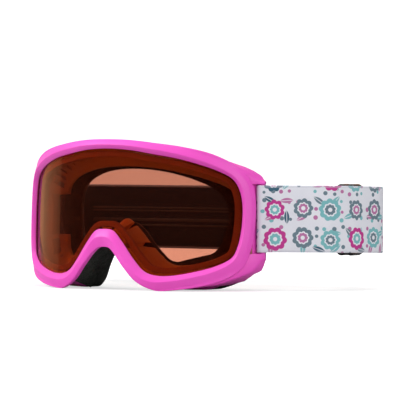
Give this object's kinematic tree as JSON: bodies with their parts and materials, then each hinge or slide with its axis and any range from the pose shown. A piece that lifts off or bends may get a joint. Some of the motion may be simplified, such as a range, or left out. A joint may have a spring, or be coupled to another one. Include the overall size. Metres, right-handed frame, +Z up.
{
  "type": "ski goggles",
  "caption": "Child's ski goggle with a moulded rim, curved double lens, face foam, vents and an elastic strap with a sliding adjuster.",
  "frame": {"origin": "on the floor under the middle of the whole object's box, between the lens and the back of the strap", "axes": "+Z up, the lens looks along -Y, the back run of the strap lies at +Y, +X is the wearer's left"},
  "size_m": [0.2248, 0.1118, 0.0796],
  "materials": {
    "frame_tpu": "satin pink moulded urethane",
    "lens_copper": "copper tinted, polished",
    "lens_clear": "clear, polished",
    "foam_black": "open-cell foam",
    "fleece_black": "short fleece",
    "webbing": "printed woven elastic",
    "silicone": "translucent silicone",
    "thread": "polyester thread",
    "adjuster_black": "semi-gloss acetal"
  },
  "bodies": {
    "goggle": {"frame": "frame_tpu", "outer_lens": "lens_copper", "lens_spacer": "foam_black", "inner_lens": "lens_clear", "face_foam": "foam_black", "face_fleece": "fleece_black", "vent_foam_brow": "foam_black", "vent_foam_nose": "foam_black", "vent_foam_cheek_left": "foam_black", "vent_foam_cheek_right": "foam_black", "vent_foam_temple_left": "foam_black", "vent_foam_temple_right": "foam_black", "strap_outer_run": "webbing", "strap_inner_run": "webbing", "strap_grip_lines": "silicone", "strap_tack_left": "thread"},
    "slider": {"adjuster": "adjuster_black", "strap_end_loop": "webbing", "strap_tack_end": "thread"}
  },
  "joints": [
    {"name": "strap_adjust", "type": "slide", "parent": "goggle", "child": "slider", "axis": [1, 0, 0], "range_m": [-0.06, 0], "deforming": ["strap_inner_run"]}
  ]
}
